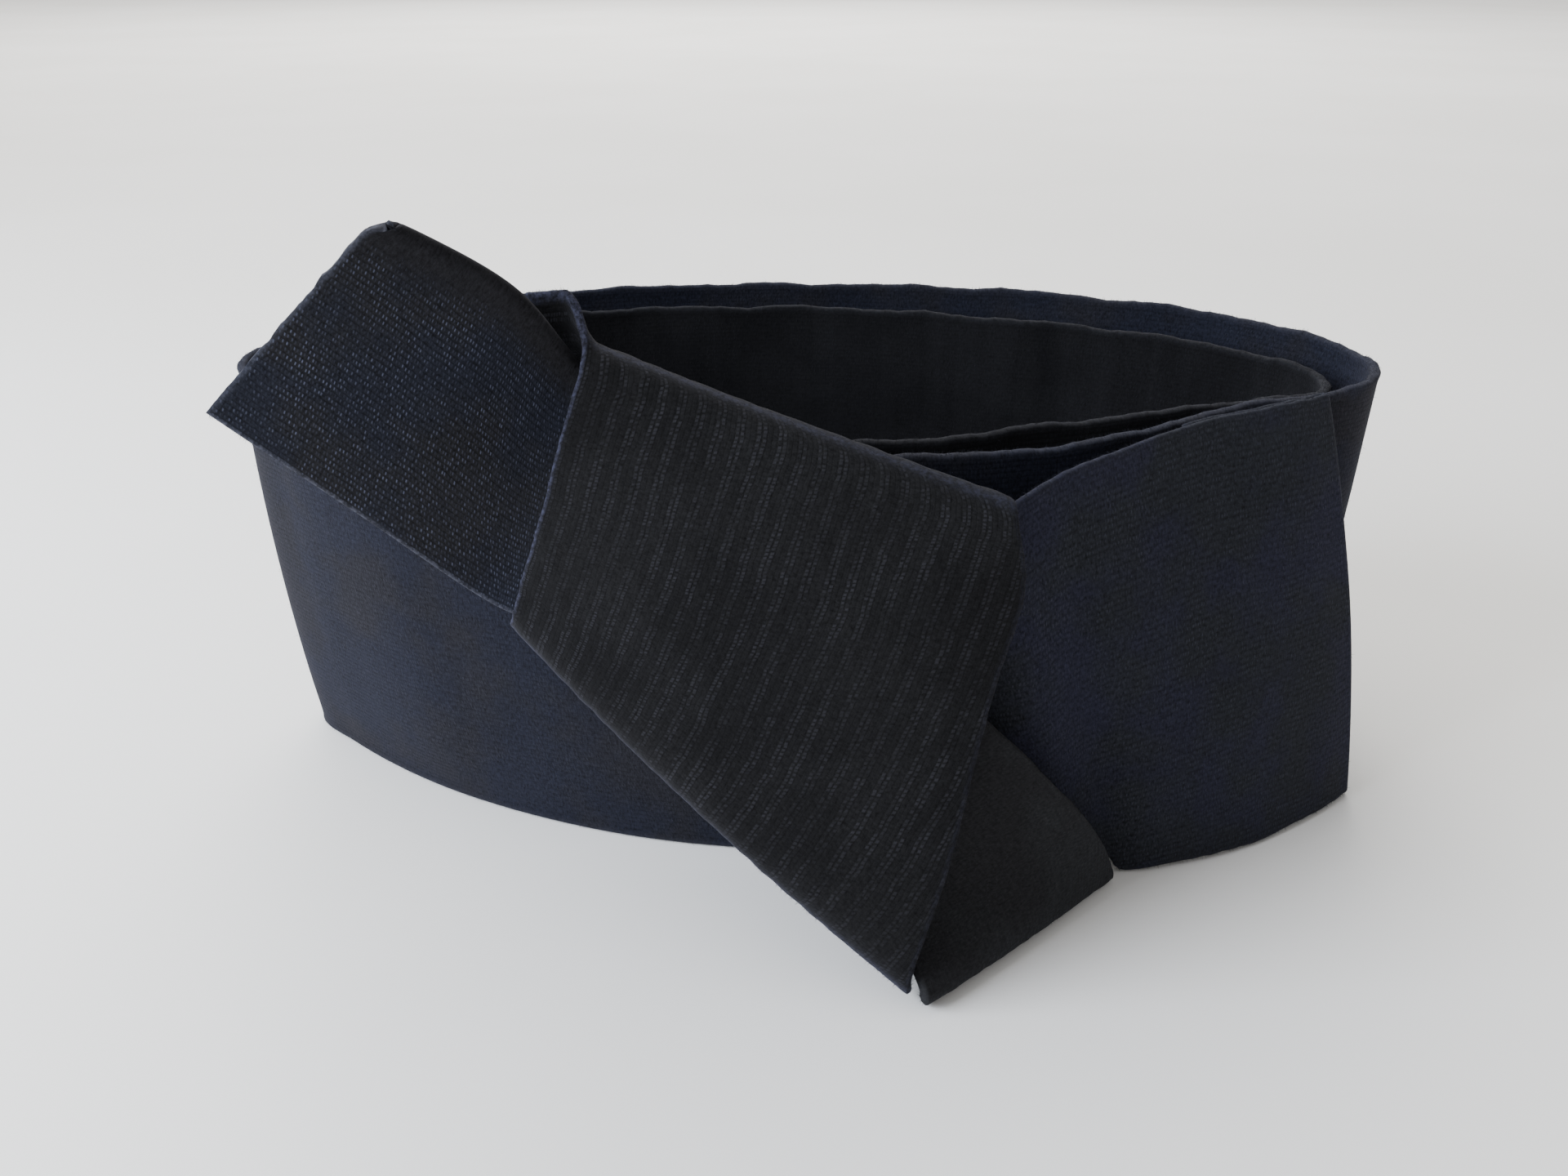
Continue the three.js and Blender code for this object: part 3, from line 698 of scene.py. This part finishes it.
PIECES = [
    # piece, node, slot, flat width and length (m), how it is held, what it rests on, fuzz
    (outer, "ring_outer_turn", "slate_cloth", (0.095, 0.608), "folded", ["ring_inner_cloth"], HAIR),
    (inner, "ring_inner_turn", "black_cloth", (0.092, 0.566), "folded", ["ring_outer_cloth"], DARK_HAIR),
    (rise, "tare_rise", "charcoal_cloth", (0.095, 0.036), "folded", ["ring_outer_cloth"], DARK_HAIR),
    (knot, "knot_band", "charcoal_cloth", (0.095, 0.118), "folded", ["te_end_cloth"], DARK_HAIR),
    (tare, "tare_end", "navy_cloth", (0.095, 0.184), "folded", ["ring_outer_cloth"], HAIR),
    (fold, "te_fold", "black_cloth", (0.0475, 0.165), "folded", ["tare_end_cloth"], DARK_HAIR),
    (te, "te_end", "navy_cloth", (0.095, 0.066), "folded", ["ring_outer_cloth"], HAIR),
]
for number, (piece, node, slot, flat, held, rests, hair) in enumerate(PIECES):
    hairs = fuzz(piece, 100 + number, hair)
    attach(piece, "root")
    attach(hairs, "root")
    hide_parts(node)


# ---- Floor, light and camera ------------------------------------------------------------------
def floor_material():
    material, n = new_material("floor")
    place = n.add("ShaderNodeTexCoord").outputs["Object"]
    tone = n.range(n.noise(place, 3, 3), 0.3, 0.7)
    shader = n.add("ShaderNodeBsdfPrincipled", {
        "Base Color": n.mix(tone, colour("f3f2ef"), colour("f8f7f5")), "Roughness": 0.9})
    n.add("ShaderNodeOutputMaterial", {"Surface": shader.outputs[0]})
    return material


bpy.ops.mesh.primitive_plane_add(size=30, location=(0, 0, cad_box[0][2] - 0.0002))
floor = bpy.context.object
floor.name = "floor"
floor.data.materials.append(floor_material())

world = bpy.context.scene.world or bpy.data.worlds.new("world")
bpy.context.scene.world = world
world.use_nodes = True
world.node_tree.nodes["Background"].inputs[0].default_value = (1.0, 0.99, 0.98, 1.0)
world.node_tree.nodes["Background"].inputs[1].default_value = 0.5


def area_light(name, place, target, size, power, tint):
    data = bpy.data.lights.new(name, "AREA")
    data.shape = "SQUARE"
    data.size = size
    data.energy = power
    data.color = tint
    light = bpy.data.objects.new(name, data)
    bpy.context.scene.collection.objects.link(light)
    light.location = place
    way = np.array(target) - np.array(place)
    flat = math.hypot(way[0], way[1])
    light.rotation_euler = (math.atan2(flat, -way[2]), 0, math.atan2(way[0], -way[1]) + math.pi)


# name, place, target, size, power, tint
area_light("window_left", (-0.85, -0.28, 0.5), (-0.05, -0.02, 0.05), 0.6, 20, (0.84, 0.90, 1.0))
area_light("room_behind", (-0.2, 2.6, 1.6), (-0.2, 2.3, 0), 2.5, 80, (1.0, 0.99, 0.97))
sky_data = bpy.data.lights.new("overhead", "SUN")
sky_data.energy = 2.4
sky_data.angle = math.radians(70)
sky_data.color = (1.0, 0.985, 0.96)
sky = bpy.data.objects.new("overhead", sky_data)
bpy.context.scene.collection.objects.link(sky)
sky.rotation_euler = (math.radians(-32), math.radians(-24), 0)

FOCAL_PIXELS, FRAME_PIXELS = 1500, 1920  # focal length and frame width, in pixels
CAMERA_PLACE = (0, -265, 180)            # in the tables' millimetres
CAMERA_TILT = 62                         # degrees up from straight down
camera_data = bpy.data.cameras.new("camera")
camera_data.sensor_fit = "HORIZONTAL"
camera_data.sensor_width = 36
camera_data.lens = camera_data.sensor_width * FOCAL_PIXELS / FRAME_PIXELS
camera_data.clip_start = 0.01
camera = bpy.data.objects.new("camera", camera_data)
bpy.context.scene.collection.objects.link(camera)
camera.location = (np.array(CAMERA_PLACE) + OFFSET) * MM
camera.rotation_euler = (math.radians(CAMERA_TILT), 0, 0)
bpy.context.scene.camera = camera
